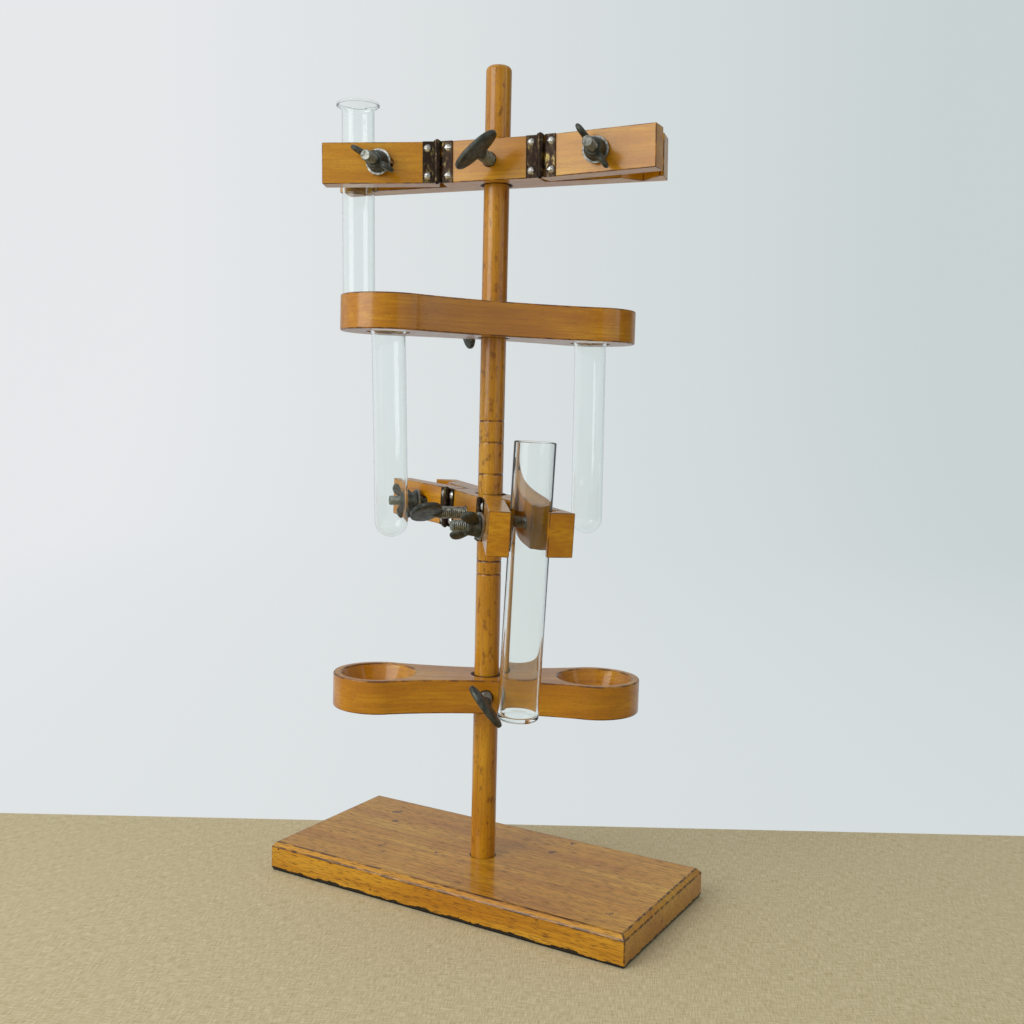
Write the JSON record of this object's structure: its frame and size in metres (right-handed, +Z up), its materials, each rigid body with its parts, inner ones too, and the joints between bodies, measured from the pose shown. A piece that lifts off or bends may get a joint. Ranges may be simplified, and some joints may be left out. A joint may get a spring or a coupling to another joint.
{
  "type": "burette stand",
  "caption": "Wooden laboratory stand: a round rod on a rectangular board carries hinged double clamps with wing nuts, waisted arms with conical rings, and glass tubes.",
  "frame": {"origin": "centre of the underside of the board on the axis of the rod", "axes": "+X along the board to the right, -Y towards the front, +Z up along the rod"},
  "size_m": [0.308, 0.2151, 0.6202],
  "materials": {
    "oak": "oiled open grain, worn dark at the edges",
    "beech": "clear varnish, satin to gloss",
    "felt": "worn black felt",
    "lining": "dark worn leather",
    "brass": "dark patina, rubbed bright on the knuckles",
    "steel": "bright zinc plate",
    "cast": "grey cast metal, satin",
    "glass": "clear glass"
  },
  "bodies": {
    "stand": {"board": "oak", "felt": "felt", "rod": "beech", "rod_screw": "steel"},
    "upper_clamp_sleeve": {"upper_clamp_lining": "lining"},
    "upper_clamp_block": {"upper_clamp_bar": "beech", "upper_clamp_insert": "brass", "upper_clamp_fixed_leaf_screws": "steel", "upper_clamp_left_fixed_leaf": "brass", "upper_clamp_left_hinge_pin": "brass", "upper_clamp_left_bolt": "steel", "upper_clamp_right_fixed_leaf": "brass", "upper_clamp_right_hinge_pin": "brass", "upper_clamp_right_bolt": "steel"},
    "upper_clamp_left_jaw": {"upper_clamp_left_jaw": "beech", "upper_clamp_left_moving_leaf": "brass", "upper_clamp_left_leaf_screws": "steel"},
    "upper_clamp_left_washer": {"upper_clamp_left_washer": "steel"},
    "upper_clamp_left_nut": {"upper_clamp_left_wing_nut": "cast"},
    "upper_clamp_right_jaw": {"upper_clamp_right_jaw": "beech", "upper_clamp_right_moving_leaf": "brass", "upper_clamp_right_leaf_screws": "steel"},
    "upper_clamp_right_washer": {"upper_clamp_right_washer": "steel"},
    "upper_clamp_right_nut": {"upper_clamp_right_wing_nut": "cast"},
    "upper_clamp_thumb_screw": {"upper_clamp_thumb_screw": "cast"},
    "lower_clamp_sleeve": {"lower_clamp_lining": "lining"},
    "lower_clamp_block": {"lower_clamp_bar": "beech", "lower_clamp_insert": "brass", "lower_clamp_fixed_leaf_screws": "steel", "lower_clamp_left_fixed_leaf": "brass", "lower_clamp_left_hinge_pin": "brass", "lower_clamp_left_bolt": "steel", "lower_clamp_right_fixed_leaf": "brass", "lower_clamp_right_hinge_pin": "brass", "lower_clamp_right_bolt": "steel"},
    "lower_clamp_left_jaw": {"lower_clamp_left_jaw": "beech", "lower_clamp_left_moving_leaf": "brass", "lower_clamp_left_leaf_screws": "steel"},
    "lower_clamp_left_washer": {"lower_clamp_left_washer": "steel"},
    "lower_clamp_left_nut": {"lower_clamp_left_wing_nut": "cast"},
    "lower_clamp_right_jaw": {"lower_clamp_right_jaw": "beech", "lower_clamp_right_moving_leaf": "brass", "lower_clamp_right_leaf_screws": "steel"},
    "lower_clamp_right_washer": {"lower_clamp_right_washer": "steel"},
    "lower_clamp_right_nut": {"lower_clamp_right_wing_nut": "cast"},
    "lower_clamp_thumb_screw": {"lower_clamp_thumb_screw": "cast"},
    "upper_arm_sleeve": {"upper_arm_lining": "lining"},
    "upper_arm": {"upper_arm_body": "beech", "upper_arm_insert": "brass"},
    "upper_arm_thumb_screw": {"upper_arm_thumb_screw": "cast"},
    "lower_arm_sleeve": {"lower_arm_lining": "lining"},
    "lower_arm": {"lower_arm_body": "beech", "lower_arm_insert": "brass"},
    "lower_arm_thumb_screw": {"lower_arm_thumb_screw": "cast"},
    "clamped_tube": {"clamped_tube": "glass"},
    "left_ring_tube": {"left_ring_tube": "glass"},
    "right_ring_tube": {"right_ring_tube": "glass"},
    "flat_bottomed_tube": {"flat_bottomed_tube": "glass"}
  },
  "joints": [
    {"name": "upper_clamp_slide", "type": "slide", "parent": "stand", "child": "upper_clamp_sleeve", "axis": [0, 0, 1], "range_m": [-0.06, 0.05]},
    {"name": "upper_clamp_swivel", "type": "hinge", "parent": "upper_clamp_sleeve", "child": "upper_clamp_block", "pos_m": [0, 0, 0.549], "axis": [0, 0, 1], "range_deg": [-25, 12]},
    {"name": "upper_clamp_thumb_screw_spin", "type": "hinge", "parent": "upper_clamp_block", "child": "upper_clamp_thumb_screw", "pos_m": [0.00726, -0.02911, 0.549], "axis": [0.2419, -0.9703, 0], "range_deg": [0, 1800]},
    {"name": "upper_arm_slide", "type": "slide", "parent": "stand", "child": "upper_arm_sleeve", "axis": [0, 0, 1], "range_m": [-0.08, 0.03]},
    {"name": "upper_arm_swivel", "type": "hinge", "parent": "upper_arm_sleeve", "child": "upper_arm", "pos_m": [0, 0, 0.4344], "axis": [0, 0, 1], "range_deg": [-12, 25]},
    {"name": "upper_arm_thumb_screw_spin", "type": "hinge", "parent": "upper_arm", "child": "upper_arm_thumb_screw", "pos_m": [-0.02469, 0.01704, 0.4344], "axis": [-0.8231, 0.5678, 0], "range_deg": [0, 1800]},
    {"name": "lower_clamp_slide", "type": "slide", "parent": "stand", "child": "lower_clamp_sleeve", "axis": [0, 0, 1], "range_m": [-0.08, 0.08]},
    {"name": "lower_clamp_swivel", "type": "hinge", "parent": "lower_clamp_sleeve", "child": "lower_clamp_block", "pos_m": [0, 0, 0.2897], "axis": [0, 0, 1], "range_deg": [-25, 25]},
    {"name": "lower_clamp_thumb_screw_spin", "type": "hinge", "parent": "lower_clamp_block", "child": "lower_clamp_thumb_screw", "pos_m": [-0.01869, -0.02345, 0.29064], "axis": [-0.6228, -0.7817, 0.0314], "range_deg": [0, 1800]},
    {"name": "lower_arm_slide", "type": "slide", "parent": "stand", "child": "lower_arm_sleeve", "axis": [0, 0, 1], "range_m": [-0.1, 0.08]},
    {"name": "lower_arm_swivel", "type": "hinge", "parent": "lower_arm_sleeve", "child": "lower_arm", "pos_m": [0, 0, 0.1529], "axis": [0, 0, 1], "range_deg": [-45, 45]},
    {"name": "lower_arm_thumb_screw_spin", "type": "hinge", "parent": "lower_arm", "child": "lower_arm_thumb_screw", "pos_m": [0.01545, -0.02571, 0.1529], "axis": [0.515, -0.8572, 0], "range_deg": [0, 1800]},
    {"name": "upper_clamp_left_washer_slide", "type": "slide", "parent": "upper_clamp_block", "child": "upper_clamp_left_washer", "axis": [0.2419, -0.9703, 0], "range_m": [0, 0.00985]},
    {"name": "upper_clamp_left_nut_spin", "type": "hinge", "parent": "upper_clamp_left_washer", "child": "upper_clamp_left_nut", "pos_m": [-0.07072, -0.05111, 0.54759], "axis": [0.2419, -0.9703, 0], "range_deg": [0, 2510]},
    {"name": "upper_clamp_left_jaw_hinge", "type": "hinge", "parent": "upper_clamp_block", "child": "upper_clamp_left_jaw", "pos_m": [-0.03234, -0.03146, 0.54832], "axis": [-0.0169, -0.0042, 0.9998], "range_deg": [0, 10]},
    {"name": "upper_clamp_right_washer_slide", "type": "slide", "parent": "upper_clamp_block", "child": "upper_clamp_right_washer", "axis": [0.2419, -0.9703, 0], "range_m": [-0.0085, 0.01355]},
    {"name": "upper_clamp_right_nut_spin", "type": "hinge", "parent": "upper_clamp_right_washer", "child": "upper_clamp_right_nut", "pos_m": [0.08573, -0.00909, 0.55041], "axis": [0.2419, -0.9703, 0], "range_deg": [-2170, 3450]},
    {"name": "upper_clamp_right_jaw_hinge", "type": "hinge", "parent": "upper_clamp_block", "child": "upper_clamp_right_jaw", "pos_m": [0.04333, -0.01259, 0.54968], "axis": [0.0169, 0.0042, -0.9998], "range_deg": [-9, 14.3]},
    {"name": "lower_clamp_left_washer_slide", "type": "slide", "parent": "lower_clamp_block", "child": "lower_clamp_left_washer", "axis": [-0.6228, -0.7817, 0.0314], "range_m": [-0.0126, 0.0095]},
    {"name": "lower_clamp_left_nut_spin", "type": "hinge", "parent": "lower_clamp_left_washer", "child": "lower_clamp_left_nut", "pos_m": [-0.08418, 0.02428, 0.29316], "axis": [-0.6228, -0.7817, 0.0314], "range_deg": [-3210, 2415]},
    {"name": "lower_clamp_left_jaw_hinge", "type": "hinge", "parent": "lower_clamp_block", "child": "lower_clamp_left_jaw", "pos_m": [-0.0446, 0.00658, 0.29157], "axis": [0.0428, 0.006, 0.9991], "range_deg": [-13.3, 10]},
    {"name": "lower_clamp_right_washer_slide", "type": "slide", "parent": "lower_clamp_block", "child": "lower_clamp_right_washer", "axis": [-0.6228, -0.7817, 0.0314], "range_m": [0, 0.00905]},
    {"name": "lower_clamp_right_nut_spin", "type": "hinge", "parent": "lower_clamp_right_washer", "child": "lower_clamp_right_nut", "pos_m": [0.04049, -0.07911, 0.28845], "axis": [-0.6228, -0.7817, 0.0314], "range_deg": [0, 2310]},
    {"name": "lower_clamp_right_jaw_hinge", "type": "hinge", "parent": "lower_clamp_block", "child": "lower_clamp_right_jaw", "pos_m": [0.01633, -0.04207, 0.28926], "axis": [-0.0428, -0.006, -0.9991], "range_deg": [0, 8.8]},
    {"name": "clamped_tube_slide", "type": "slide", "parent": "upper_clamp_block", "child": "clamped_tube", "axis": [-0.0169, -0.0042, 0.9998], "range_m": [-0.025, 0.08]},
    {"name": "left_ring_tube_lift", "type": "slide", "parent": "upper_arm", "child": "left_ring_tube", "axis": [-0.0235, -0.0156, 0.9996], "range_m": [0, 0.07]},
    {"name": "right_ring_tube_lift", "type": "slide", "parent": "upper_arm", "child": "right_ring_tube", "axis": [-0.0054, -0.002, 1], "range_m": [0, 0.16]},
    {"name": "flat_bottomed_tube_slide", "type": "slide", "parent": "lower_clamp_block", "child": "flat_bottomed_tube", "axis": [0.0428, 0.006, 0.9991], "range_m": [-0.03, 0.08]}
  ],
  "couplings": [
    {"joint": "upper_clamp_left_washer_slide", "follows": "upper_clamp_left_nut_spin", "m_per_rad": 0.00022441},
    {"joint": "upper_clamp_left_jaw_hinge", "follows": "upper_clamp_left_nut_spin", "ratio": 0.0039766},
    {"joint": "upper_clamp_right_washer_slide", "follows": "upper_clamp_right_nut_spin", "m_per_rad": 0.00022441},
    {"joint": "upper_clamp_right_jaw_hinge", "follows": "upper_clamp_right_nut_spin", "ratio": 0.0041397},
    {"joint": "lower_clamp_left_washer_slide", "follows": "lower_clamp_left_nut_spin", "m_per_rad": 0.00022441},
    {"joint": "lower_clamp_left_jaw_hinge", "follows": "lower_clamp_left_nut_spin", "ratio": 0.0041397},
    {"joint": "lower_clamp_right_washer_slide", "follows": "lower_clamp_right_nut_spin", "m_per_rad": 0.00022441},
    {"joint": "lower_clamp_right_jaw_hinge", "follows": "lower_clamp_right_nut_spin", "ratio": 0.0038056}
  ]
}
